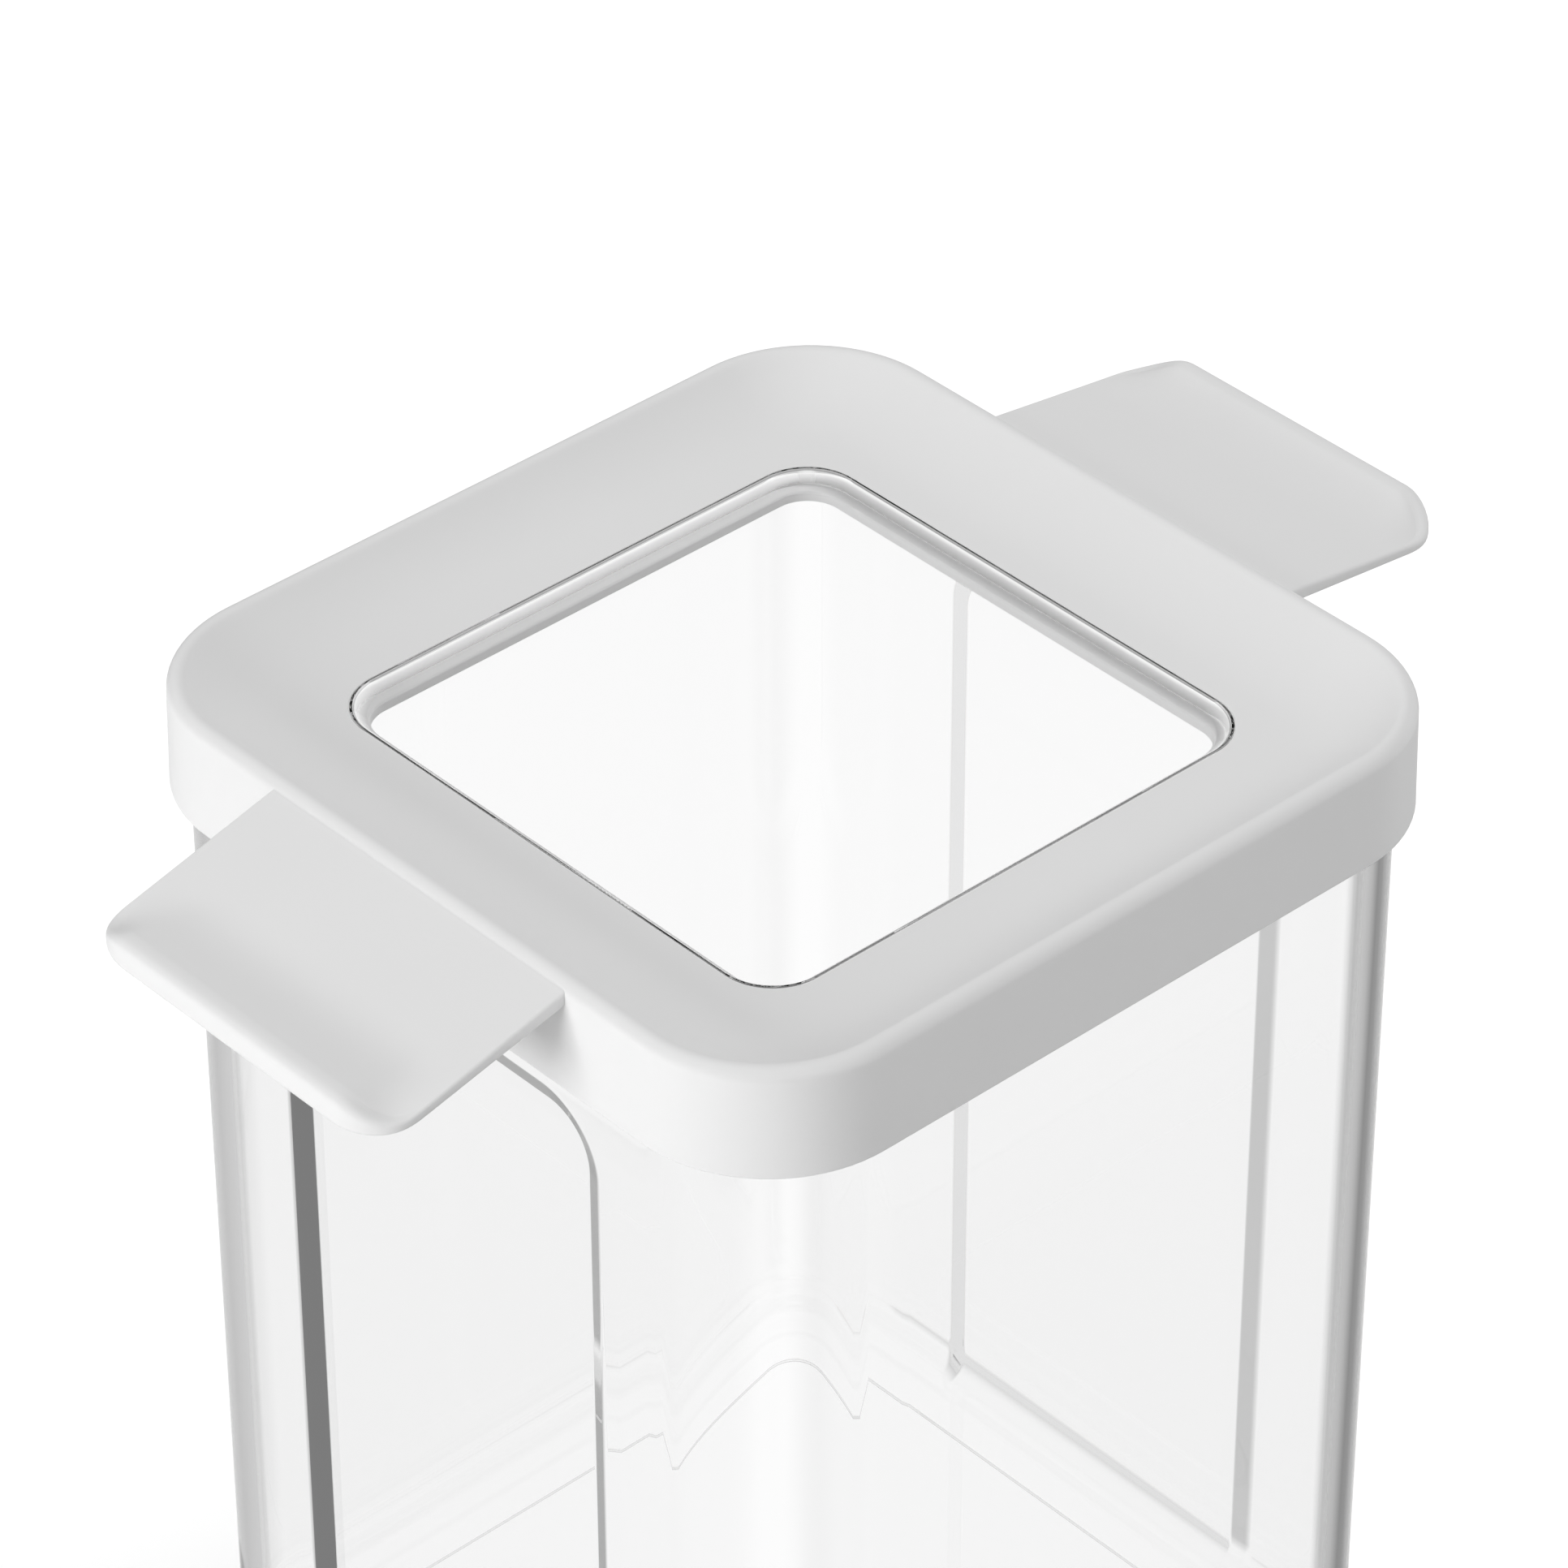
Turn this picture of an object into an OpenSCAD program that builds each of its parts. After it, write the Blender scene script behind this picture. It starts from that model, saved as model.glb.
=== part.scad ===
// Square glass canister with a lift-off lid. A clear jar with rounded corners has a grip recess
// in two opposite faces. Its white lid frame has a dished top with a raised rim, two finger wings
// over the recesses, a clear window set in the middle, and a soft seal round its inner plug wall.
// Millimetres, +Z up, with the origin at the middle of the jar's base.

/* [Jar] */
// Height of the jar from its base to its rim
jar_h = 155.1; // [110:0.1:240]
// Width of the jar across its flat faces
jar_w = 113; // [100:0.2:126]
// Wall thickness of the jar
jar_wall = 3; // [2.4:0.2:4]
// Thickness of the jar's floor inside the foot ring
jar_floor = 4; // [3:0.5:8]
// Distance from the jar's axis to the centre of each rounded corner, along X and along Y
corner_at = 39.5; // [34:0.5:43]
// Rounding of the jar's outer bottom edge
foot_round = 5; // [2:0.5:8]
// Rounding inside, between the floor and the walls
floor_round = 4; // [2:0.5:8]
// Rounding of the jar's rim, inside and outside
rim_round = 1; // [0.4:0.1:1.2]
// Width of the ring that the jar stands on
foot_ring_w = 7; // [4:0.5:12]
// Height of the hollow under the floor, inside the foot ring
foot_hollow = 0.8; // [0.4:0.1:2]

/* [Grip recess] */
// Width of each grip recess
recess_w = 52.4; // [40:0.2:60]
// Depth of each grip recess
recess_depth = 1.2; // [0.6:0.1:1.6]
// Distance from the jar's rim down to the top of each recess
recess_drop = 19; // [16:0.5:40]
// Rounding of the upper corners of each recess
recess_round = 9; // [3:0.5:12]

/* [Lid frame] */
// Thickness of the skirt at its lower edge
skirt_t = 2.15; // [1.8:0.05:4]
// Height of the lid from the bottom of the skirt to the top of its rim
lid_h = 15; // [13:0.2:20]
// Inward slope of the skirt over its height, each side
skirt_draft = 0.3; // [0:0.1:0.8]
// Thickness of the lid's flat top
lid_t = 2.6; // [2:0.1:3.5]
// Thickness of the lid's top over the inner edge of the jar's rim
seat_wall = 2; // [1.6:0.1:3]
// Height of the raised rim over the flat part of the top
rim_rise = 4.8; // [3:0.1:6]
// Rounding radius of the raised rim's crest
crest_round = 1.6; // [1.2:0.1:3]
// Width of the flat border between the window and the dished slope
flat_border = 3; // [1:0.5:8]
// Thickness of the plug wall that enters the jar
plug_t = 2.4; // [1.8:0.1:3.5]
// Length of the plug wall below the flat part's underside
plug_len = 8; // [7:0.5:14]

/* [Wings] */
// Width of each finger wing
wing_w = 52.6; // [30:0.2:60]
// Reach of each wing beyond the skirt
wing_len = 28.4; // [20:0.2:36]
// Drop of the wing's top below the rim's crest where it leaves the skirt
wing_root_drop = 0.5; // [0.2:0.1:3]
// Downward slope of the wing, in degrees
wing_slope = 11.5; // [4:0.5:18]
// Thickness of the wing's blade
wing_t = 2; // [1.6:0.1:3]
// Rounding radius of the thick outer lip
lip_round = 2.2; // [1.8:0.1:3]
// Height of the lip's centre above the low line of the blade's underside
lip_lift = 0.8; // [0:0.1:2]
// Corner radius of the wing's outer corners, seen from above
wing_corner = 7.5; // [4:0.5:14]

/* [Window] */
// Width of the clear window across its flat sides
window_w = 79.8; // [60:0.5:86]
// Corner radius of the window
window_corner = 7.5; // [4:0.1:10]
// Depth of the window's dish
window_dish = 1.4; // [0.8:0.1:2]
// Width of the sloping band from the window's edge to its flat floor
window_band = 1.3; // [0.8:0.1:2.5]
// Thickness of the window's floor
window_t = 1.6; // [1.2:0.1:2.4]
// Width of the ledge that carries the window
ledge_w = 3.2; // [2:0.1:5]
// Thickness of the ledge
ledge_t = 1.6; // [1.2:0.1:3]

/* [Seal] */
// Height of the seal
seal_h = 5; // [4:0.1:7]
// Depth of the groove that holds the seal
groove_d = 1.2; // [0.8:0.1:1.6]
// Radius of the seal's two rounded lips
seal_lip = 0.9; // [0.6:0.05:1.2]
// Distance from the plug wall's lower end up to the seal's groove
seal_up = 1.8; // [1.2:0.1:3]

/* [Fits] */
// Gap between the skirt and the jar
skirt_clear = 0.35; // [0.3:0.05:0.8]
// Gap between the plug wall and the jar
plug_clear = 1.2; // [0.8:0.1:1.8]
// Gap between the jar's rim and the lid that rests over it
seat_clear = 0.2; // [0.1:0.05:0.4]
// Gap between the seal's lips and the jar's inner wall
seal_clear = 0.3; // [0.2:0.05:0.5]
// Gap round the pieces that are fixed in the lid frame
fixed_clear = 0.05; // [0.02:0.01:0.1]

/* [Hidden] */
$fn = 96;
cut = 1;
// Overlap of two curves that touch smoothly, so that they meet in a clean line
shave = 0.01;
jar_half = jar_w / 2;
bore_half = jar_half - jar_wall;
skirt_half = jar_half + skirt_clear;
lid_half = skirt_half + skirt_t;
crest_half = lid_half - skirt_draft;
plug_half = bore_half - plug_clear;
window_half = window_w / 2;

// The circle that dishes the lid's top starts level at dish_x and touches the rim's crest circle.
dish_x = window_half + flat_border;
dish_run = crest_half - crest_round - dish_x;
dish_r = (dish_run * dish_run + rim_rise * rim_rise) / (2 * rim_rise) - crest_round;
dish_rise = dish_r - sqrt(dish_r * dish_r - (plug_half - dish_x) * (plug_half - dish_x));

seat_z = jar_h + seat_clear;
crest_z = seat_z + seat_wall + rim_rise - dish_rise;
skirt_z = crest_z - lid_h;
flat_z = crest_z - rim_rise;
plug_z = flat_z - lid_t - plug_len;
groove_z = plug_z + seal_up;
recess_z = jar_h - recess_drop;
floor_z = foot_hollow + jar_floor;
window_floor_z = flat_z - window_dish;
ledge_z = window_floor_z - window_t;
// Width of the boss that stands round the window's opening on the underside
boss_w = 2.5;
// Width of the window's level outer lip
window_lip = 0.3;
// Depth that each wing's root reaches into the skirt
wing_bite = 1.2;

// The circle that hollows the wing's top leaves its slope at wing_bend and touches the lip circle.
wing_root = [lid_half, crest_z - wing_root_drop];
slope_dir = [cos(wing_slope), -sin(wing_slope)];
slope_up = [sin(wing_slope), cos(wing_slope)];
lip_x = lid_half + wing_len - lip_round;
blade_low = wing_root - wing_t * slope_up + slope_dir * (lip_x - lid_half) / slope_dir[0];
lip_at = [lip_x, blade_low[1] + lip_round + lip_lift];
wing_bend = wing_root + slope_dir * (wing_len * 0.58) / slope_dir[0];
bend_to_lip = wing_bend - lip_at;
hollow_r = (bend_to_lip * bend_to_lip - lip_round * lip_round) / (2 * (lip_round - bend_to_lip * slope_up));

// A square of half width half, with corners of radius r.
module rounded_square(half, r) {
    square([2 * half, 2 * (half - r)], center = true);
    square([2 * (half - r), 2 * half], center = true);
    for (sx = [-1, 1], sy = [-1, 1])
        translate([sx * (half - r), sy * (half - r)]) circle(r);
}

// A prism on that outline, from z0 to z1.
module rounded_prism(half, r, z0, z1) {
    translate([0, 0, z0]) linear_extrude(z1 - z0) rounded_square(half, r);
}

// A block whose section, from the axis to the middle of a side, is its child.
// The corners turn the same section about four centres that lie at from the axis, in X and in Y.
module swept_block(at) {
    for (turn = [0:90:270])
        rotate(turn) translate([at, at, 0])
            rotate_extrude(angle = 90)
                intersection() {
                    translate([-at, 0]) children();
                    translate([0, -cut]) square([lid_half + cut, crest_z + 3 * cut]);
                }
    for (turn = [0, 90])
        rotate([90, 0, turn])
            linear_extrude(2 * at, center = true) {
                children();
                mirror([1, 0]) children();
            }
}

// A closed ring of the child's section, drawn at its distance from the axis.
module swept_ring() {
    for (turn = [0:90:270])
        rotate(turn) {
            translate([corner_at, corner_at, 0])
                rotate_extrude(angle = 90) translate([-corner_at, 0]) children();
            rotate([90, 0, 0]) linear_extrude(2 * corner_at, center = true) children();
        }
}

// Section of a plain wall block, rounded at its lower and its upper outer edge.
module wall_section(half, z0, z1, low_r, high_r) {
    translate([-cut, z0]) square([half - low_r + cut, z1 - z0]);
    translate([-cut, z0 + low_r]) square([half - high_r + cut, z1 - z0 - low_r]);
    translate([0, z0 + low_r]) square([half, z1 - z0 - low_r - high_r]);
    translate([half - low_r, z0 + low_r]) circle(low_r);
    translate([half - high_r, z1 - high_r]) circle(high_r);
}

// The two grip recesses, sunk into the front and the back face.
module grip_recesses() {
    half = recess_w / 2;
    for (turn = [0, 180])
        rotate([90, 0, turn])
            translate([0, 0, jar_half - recess_depth])
                linear_extrude(recess_depth + cut) {
                    translate([-half, -cut]) square([recess_w, recess_z - recess_round + cut]);
                    translate([recess_round - half, -cut])
                        square([recess_w - 2 * recess_round, recess_z + cut]);
                    for (side = [-1, 1])
                        translate([side * (half - recess_round), recess_z - recess_round])
                            circle(recess_round);
                }
}

module glass_jar() {
    hollow_half = jar_half - foot_round - foot_ring_w;
    color([0.86, 0.89, 0.90, 0.35])
        difference() {
            swept_block(corner_at) wall_section(jar_half, 0, jar_h, foot_round, rim_round);
            swept_block(corner_at)
                wall_section(bore_half, floor_z, jar_h + cut, floor_round, rim_round / 5);
            grip_recesses();
            rounded_prism(hollow_half, hollow_half - corner_at, -cut, foot_hollow);
        }
}

// Section of the whole lid frame ring, from the window's ledge out to the skirt.
module frame_section() {
    boss_x = window_half + boss_w;
    under_z = flat_z - lid_t;
    crest_at = [crest_half - crest_round, crest_z - crest_round];
    crest_touch = crest_at + crest_round * ([dish_x, flat_z + dish_r] - crest_at) / (dish_r + crest_round);
    difference() {
        union() {
            difference() {
                polygon([
                    [-cut, ledge_z - ledge_t], [boss_x, ledge_z - ledge_t],
                    [boss_x, under_z], [plug_half - plug_t, under_z],
                    [plug_half - plug_t, plug_z], [plug_half, plug_z],
                    [plug_half, skirt_z], [lid_half, skirt_z],
                    [crest_half, crest_at[1]], crest_at, crest_touch, [-cut, crest_touch[1]]
                ]);
                translate([-2 * cut, flat_z]) square([dish_x + 2 * cut, rim_rise + cut]);
                translate([dish_x, flat_z + dish_r - shave]) circle(dish_r);
            }
            translate(crest_at) circle(crest_round);
        }
        // Channel for the jar's rim, and groove for the seal
        translate([plug_half, seat_z - lid_h]) square([skirt_half - plug_half, lid_h]);
        translate([plug_half - groove_d, groove_z]) square([groove_d + cut / 4, seal_h]);
    }
}

// Section of a wing along its reach: sloping blade, hollowed top and thick rounded lip.
module wing_section() {
    hollow_at = wing_bend + hollow_r * slope_up;
    lip_touch = lip_at + lip_round * (hollow_at - lip_at) / (hollow_r + lip_round);
    root_low = wing_root - wing_t * slope_up;
    difference() {
        polygon([
            wing_root - wing_bite * slope_dir, wing_bend, lip_touch, lip_at,
            lip_at - [0, lip_round], root_low, root_low - wing_bite * slope_dir
        ]);
        translate(hollow_at - shave * slope_up) circle(hollow_r);
    }
    translate(lip_at) circle(lip_round);
}

// A wing seen from above, with its two outer corners rounded.
module wing_plan() {
    root_y = lid_half - wing_bite - cut;
    end_y = lid_half + wing_len;
    translate([-wing_w / 2, root_y]) square([wing_w, end_y - wing_corner - root_y]);
    translate([wing_corner - wing_w / 2, root_y]) square([wing_w - 2 * wing_corner, end_y - root_y]);
    for (side = [-1, 1])
        translate([side * (wing_w / 2 - wing_corner), end_y - wing_corner]) circle(wing_corner);
}

module wing() {
    intersection() {
        rotate([90, 0, 90]) linear_extrude(wing_w, center = true) wing_section();
        translate([0, 0, plug_z]) linear_extrude(crest_z - plug_z) wing_plan();
    }
}

module lid_frame() {
    ledge_half = window_half - ledge_w;
    color([0.93, 0.93, 0.93]) {
        difference() {
            swept_block(corner_at) frame_section();
            rounded_prism(window_half, window_corner, ledge_z, flat_z + cut);
            rounded_prism(ledge_half, window_corner - ledge_w, ledge_z - ledge_t - cut, ledge_z + cut);
        }
        for (turn = [0, 180]) rotate(turn) wing();
    }
}

module lid_window() {
    half = window_half - fixed_clear;
    band_x = half - window_lip - window_band;
    color([0.85, 0.89, 0.91, 0.35])
        swept_block(window_half - window_corner)
            polygon([
                [-cut, ledge_z], [half, ledge_z], [half, flat_z], [half - window_lip, flat_z],
                [band_x, window_floor_z], [-cut, window_floor_z]
            ]);
}

module lid_seal() {
    back_x = plug_half - groove_d + fixed_clear;
    lip_x = bore_half - seal_clear - seal_lip;
    color([0.80, 0.81, 0.82])
        swept_ring() {
            translate([back_x, groove_z + fixed_clear])
                square([lip_x - back_x, seal_h - 2 * fixed_clear]);
            for (share = [0.25, 0.75])
                translate([lip_x, groove_z + share * seal_h]) circle(seal_lip);
        }
}

glass_jar();
lid_frame();
lid_window();
lid_seal();
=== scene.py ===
"""Looks of a square lidded canister: clear jar, white lid with finger wings, clear window and seal.

Lengths are metres and +Z is up. The origin is the middle of the jar's base, as in the frame.
"""

from math import atan2, pi, radians

import bmesh
import bpy
import numpy as np
from bpy.props import FloatProperty, FloatVectorProperty, PointerProperty
from mathutils import Matrix, Vector


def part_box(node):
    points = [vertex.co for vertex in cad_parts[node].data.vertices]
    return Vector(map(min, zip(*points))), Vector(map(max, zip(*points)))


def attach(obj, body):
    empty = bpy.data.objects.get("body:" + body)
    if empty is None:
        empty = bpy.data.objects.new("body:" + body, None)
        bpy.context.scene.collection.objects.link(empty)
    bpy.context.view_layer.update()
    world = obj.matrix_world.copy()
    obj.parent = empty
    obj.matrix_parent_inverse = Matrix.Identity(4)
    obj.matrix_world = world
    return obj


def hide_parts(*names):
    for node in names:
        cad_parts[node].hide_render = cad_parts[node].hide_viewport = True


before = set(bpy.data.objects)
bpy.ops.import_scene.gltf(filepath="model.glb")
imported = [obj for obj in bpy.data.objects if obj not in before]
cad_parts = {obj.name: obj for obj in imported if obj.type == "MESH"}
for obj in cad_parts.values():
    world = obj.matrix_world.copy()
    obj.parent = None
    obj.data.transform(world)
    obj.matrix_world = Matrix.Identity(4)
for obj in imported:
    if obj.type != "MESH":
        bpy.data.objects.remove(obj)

bl_info = {
    "name": "Lidded Canister",
    "version": (1, 0, 0),
    "blender": (4, 5, 0),
    "location": "View3D > Sidebar > Canister",
    "description": "Makes the glass, the white lid, the window and the seal of a square canister",
    "category": "Add Mesh",
}

JAR_LOW, JAR_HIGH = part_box("glass_jar")
LID_LOW, LID_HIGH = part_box("lid_frame")
WINDOW_LOW, WINDOW_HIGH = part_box("lid_window")
SEAL_LOW, SEAL_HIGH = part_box("lid_seal")
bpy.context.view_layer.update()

CREST_Z = LID_HIGH.z
FLAT_Z = WINDOW_HIGH.z
LEDGE_Z = WINDOW_LOW.z
FIXED_GAP = 0.00005
OPEN_X = WINDOW_HIGH.x + FIXED_GAP
WELD = 2e-6
WHITE = (1, 1, 1, 1)

# Brightness of the room in steps of place and level, across the camera's view and up it.
ROOM_ASIDE = ((-1.0, 0.75), (-0.6, 0.65), (-0.4, 0.62), (-0.25, 0.8), (-0.12, 1.0), (0.16, 1.0),
              (0.28, 0.7), (0.4, 0.32), (0.5, 0.22), (0.62, 0.5), (0.8, 0.7), (1.0, 0.7))
ROOM_ABOVE = ((-1.0, 1.0), (0.14, 1.0), (0.22, 0.3), (0.5, 0.3), (0.75, 1.0), (1.0, 1.0))

# Turns inside a wall after which the glass shows a painted glow, and the surfaces passed to be in
# each of two walls.
GLOW_AFTER_TURNS = 2.5
NEAR_WALL, FAR_WALL = 1, 3


def length(name, text, default, low=0.0, high=0.2):
    """A length property in metres."""
    return FloatProperty(name=name, description=text, default=default, min=low, max=high,
                         precision=5, unit="LENGTH")


def share(name, text, default):
    """A property that runs from 0 to 1."""
    return FloatProperty(name=name, description=text, default=default, min=0.0, max=1.0,
                         subtype="FACTOR")


def angle(name, text, degrees):
    """An angle property, given in degrees."""
    return FloatProperty(name=name, description=text, default=radians(degrees), subtype="ANGLE",
                         unit="ROTATION")


def number(name, text, default, low=0.0):
    """A plain number property."""
    return FloatProperty(name=name, description=text, default=default, min=low)


def colour(name, text, default):
    """A colour property, linear red, green and blue."""
    return FloatVectorProperty(name=name, description=text, default=default, min=0.0, max=1.0,
                               size=3, subtype="COLOR")


class JarSizes(bpy.types.PropertyGroup):
    """Sizes of the glass jar."""

    corner_at: length("Corner centre", "Distance from the axis to each corner's centre", 0.0395)
    wall: length("Wall", "Thickness of the glass wall", 0.003)
    floor: length("Floor", "Thickness of the floor over the hollow", 0.004)
    foot_round: length("Foot rounding", "Rounding of the outer bottom edge", 0.005)
    foot_ring: length("Foot ring", "Width of the ring the jar stands on", 0.007)
    hollow: length("Foot hollow", "Height of the hollow under the floor", 0.0008)
    floor_round: length("Floor rounding", "Rounding between floor and wall inside", 0.004)
    foot_edge: length("Foot edge", "Rounding of the foot ring's inner edges", 0.0003)
    foot_taper: length("Foot taper", "Inward lean of the foot ring's inner side", 0.0005)
    rim_round: length("Rim rounding", "Rounding of the rim", 0.001)
    recess_w: length("Recess width", "Width of each grip recess's floor", 0.0518)
    recess_drop: length("Recess drop", "Distance from the rim to the recess floor's top", 0.0175)
    recess_depth: length("Recess depth", "Depth of each grip recess", 0.0012)
    recess_round: length("Recess corner", "Radius of the recess floor's upper corners", 0.007)
    recess_soft: length("Recess side", "Width of the slope round the recess's floor", 0.0036)
    recess_blend: share("Recess blend", "Share of the slope that curves into the wall", 0.35)


class LidSizes(bpy.types.PropertyGroup):
    """Sizes of the white lid frame."""

    skirt_h: length("Skirt height", "Height of the lid's side", 0.015)
    skirt_draft: length("Skirt draft", "Inward slope of the skirt over its height", 0.0003)
    skirt_t: length("Skirt thickness", "Thickness of the skirt's lower edge", 0.00215)
    flat_border: length("Flat border", "Width of the level border round the window", 0.003)
    crest_round: length("Crest rounding", "Rounding of the raised rim", 0.0016)
    top_t: length("Top thickness", "Thickness of the flat top", 0.0026)
    plug_half: length("Plug half width", "Half width of the wall that enters the jar", 0.0523)
    plug_t: length("Plug thickness", "Thickness of the wall that enters the jar", 0.0024)
    seat_gap: length("Seat gap", "Gap between the jar's rim and the lid over it", 0.0002)
    groove_d: length("Groove depth", "Depth of the seal's groove", 0.0012)
    ledge_w: length("Ledge width", "Width of the ledge under the window", 0.0026)
    ledge_t: length("Ledge thickness", "Thickness of the ledge", 0.0016)
    boss_w: length("Boss width", "Width of the boss round the opening underneath", 0.0025)
    edge: length("Edge rounding", "Rounding of the moulded edges", 0.0003)


class WingSizes(bpy.types.PropertyGroup):
    """Sizes of the two finger wings."""

    half_w: length("Half width", "Half width of a wing", 0.0263)
    root_drop: length("Root drop", "Drop of the wing's top below the crest at the skirt", 0.0010)
    front_slope: angle("Front slope", "Fall of the front wing outwards", 14.5)
    back_slope: angle("Back slope", "Fall of the back wing outwards", 8.5)
    blade_t: length("Blade thickness", "Thickness of the blade", 0.002)
    lip_round: length("Lip rounding", "Radius of the thick outer lip", 0.0022)
    lip_lift: length("Lip lift", "Height of the lip over the blade's low line", 0.0008)
    bend_share: share("Bend", "Share of the reach at which the top turns up", 0.58)
    corner: length("Corner", "Corner radius seen from above", 0.0075)
    side_round: length("Side rounding", "Width of the rounding along the sides", 0.0007)
    root_round: length("Root rounding", "Fillet between the wing's top and the crest", 0.0003)
    lip_fade: share("Lip fade", "Share of the corner's width over which the lip fades out", 0.95)
    squareness: share("Squareness", "Power of the edge's ellipse, lower is squarer", 0.55)


class WindowSizes(bpy.types.PropertyGroup):
    """Sizes of the clear window."""

    corner: length("Corner", "Corner radius of the window's opening", 0.0075)
    dish: length("Dish", "Depth of the dished floor", 0.0014)
    band: length("Band", "Width of the sloping band", 0.0013)
    lip: length("Lip", "Width of the level outer lip", 0.0003)
    edge: length("Edge rounding", "Rounding of the window's edges", 0.0001)
    grip: length("Grip", "Depth by which the window sits in its ledge", 0.00005)


class SealSizes(bpy.types.PropertyGroup):
    """Sizes of the soft seal."""

    lip: length("Lip", "Reach of the two lips past the band between them", 0.0009)
    edge: length("Edge", "Height of the seal's edge above and below its lips", 0.0002)
    grip: length("Grip", "Gap between the seal and the bottom of its groove", 0.00005)


class Finishes(bpy.types.PropertyGroup):
    """Colours and finishes."""

    plastic: colour("Lid colour", "Colour of the moulded lid", (0.80, 0.80, 0.80))
    plastic_rough: share("Lid roughness", "Roughness of the moulded lid", 0.42)
    plastic_index: number("Plastic index", "Refractive index of the lid and the seal", 1.46, 1.0)
    glass: colour("Glass colour", "Tint of the clear jar", (0.99, 0.99, 0.99))
    glass_index: number("Glass index", "Refractive index of the jar and the window", 1.54, 1.0)
    glass_rough: share("Glass roughness", "Least roughness of the clear pieces", 0.002)
    lamp_share: share("Lamp share", "Lamp light that each clear surface lets through", 0.94)
    # Near and far strengths of the painted glow that the glass shows once light has turned inside a
    # wall.
    near_painted_glow: share("Near grey", "Light held inside the nearest wall", 0.17)
    far_painted_glow: share("Far grey", "Light held inside the wall behind it", 0.78)
    window: colour("Window colour", "Tint of the clear window", (0.99, 0.99, 0.99))
    # Strength of the painted glow on the window's sloping rim, a painted highlight.
    painted_rim_glow: share("Rim light", "Light that the window's rim gathers", 0.34)
    seal: colour("Seal colour", "Colour of the soft seal", (0.62, 0.64, 0.65))
    seal_rough: share("Seal roughness", "Roughness of the soft seal", 0.6)


class StageSizes(bpy.types.PropertyGroup):
    """Camera, light and floor."""

    azimuth: angle("Azimuth", "Turn of the camera round the axis", 47.70)
    elevation: angle("Elevation", "Height of the camera's view", 36.47)
    roll: angle("Roll", "Roll of the camera", 0.13)
    distance: length("Distance", "Distance from the lid's crest", 0.8596, high=5.0)
    aside: length("Aside", "Camera's step to the right of the axis", -0.00083, low=-0.2)
    above: length("Above", "Camera's step up from the crest's middle", -0.01223, low=-0.2)
    lens: number("Lens", "Focal length in millimetres", 164.96)
    sensor: number("Sensor", "Width of the sensor in millimetres", 36, 1.0)
    front: number("Front light", "Power of the front lamp", 30.6)
    front_turn: angle("Front turn", "Azimuth of the front lamp", -2)
    front_rise: angle("Front rise", "Elevation of the front lamp", 10)
    back: number("Back light", "Power of the back lamp", 20.7)
    back_turn: angle("Back turn", "Azimuth of the back lamp", 165)
    back_rise: angle("Back rise", "Elevation of the back lamp", 52)
    lamp_away: length("Lamp distance", "Distance of both lamps", 2.2, high=5.0)
    lamp_size: length("Lamp size", "Side of both lamps", 0.8, high=5.0)
    fill: share("Fill light", "Strength of the room's light", 0.41)
    floor_r: length("Floor radius", "Radius of the floor", 3.0, high=10.0)
    floor_drop: length("Floor drop", "Depth of the floor below the jar's foot", 0.0002)
    floor_grey: share("Floor grey", "Brightness of the floor's colour", 0.82)
    floor_rough: share("Floor roughness", "Roughness of the floor", 0.9)
    floor_glow: share("Floor glow", "Light that whitens the floor for the camera", 0.45)


GROUPS = {
    "jar": JarSizes,
    "lid": LidSizes,
    "wing": WingSizes,
    "window": WindowSizes,
    "seal": SealSizes,
    "finish": Finishes,
    "stage": StageSizes,
}


# ---- surfaces ----

def grid_faces(rows, columns):
    """Quads between neighbouring rows and columns of a grid of points numbered row by row."""
    index = np.arange(rows * columns).reshape(rows, columns)
    quads = np.stack([index[:-1, :-1], index[:-1, 1:], index[1:, 1:], index[1:, :-1]], axis=-1)
    return quads.reshape(-1, 4)


def new_mesh(name, points, quads):
    """A mesh from an array of points and an array of quads."""
    mesh = bpy.data.meshes.new(name)
    mesh.vertices.add(len(points))
    mesh.vertices.foreach_set("co", points.astype(np.float32).ravel())
    mesh.loops.add(quads.size)
    mesh.loops.foreach_set("vertex_index", quads.astype(np.int32).ravel())
    mesh.polygons.add(len(quads))
    mesh.polygons.foreach_set("loop_start", np.arange(0, quads.size, 4, dtype=np.int32))
    mesh.update(calc_edges=True)
    return mesh


def close_shell(mesh):
    """Welds the seams and poles of a mesh, caps what is still open and turns its faces outwards."""
    shell = bmesh.new()
    shell.from_mesh(mesh)
    bmesh.ops.remove_doubles(shell, verts=shell.verts, dist=WELD)
    bmesh.ops.dissolve_degenerate(shell, edges=shell.edges, dist=WELD)
    rim = [edge for edge in shell.edges if edge.is_boundary]
    if rim:
        bmesh.ops.holes_fill(shell, edges=rim, sides=0)
    if shell.calc_volume(signed=True) < 0:
        bmesh.ops.reverse_faces(shell, faces=shell.faces)
    for face in shell.faces:
        face.smooth = True
    shell.to_mesh(mesh)
    shell.free()
    return mesh


def shell_from_grids(name, grids):
    """A closed mesh from grids of points, each an array of rows, columns and x, y, z."""
    points, quads, start = [], [], 0
    for grid in grids:
        rows, columns = grid.shape[:2]
        points.append(grid.reshape(-1, 3))
        quads.append(grid_faces(rows, columns) + start)
        start += rows * columns
    return close_shell(new_mesh(name, np.concatenate(points), np.concatenate(quads)))


def join_meshes(name, meshes):
    """One mesh that holds several closed shells."""
    joined = bmesh.new()
    for mesh in meshes:
        joined.from_mesh(mesh)
        bpy.data.meshes.remove(mesh)
    result = bpy.data.meshes.new(name)
    joined.to_mesh(result)
    joined.free()
    return result


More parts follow.
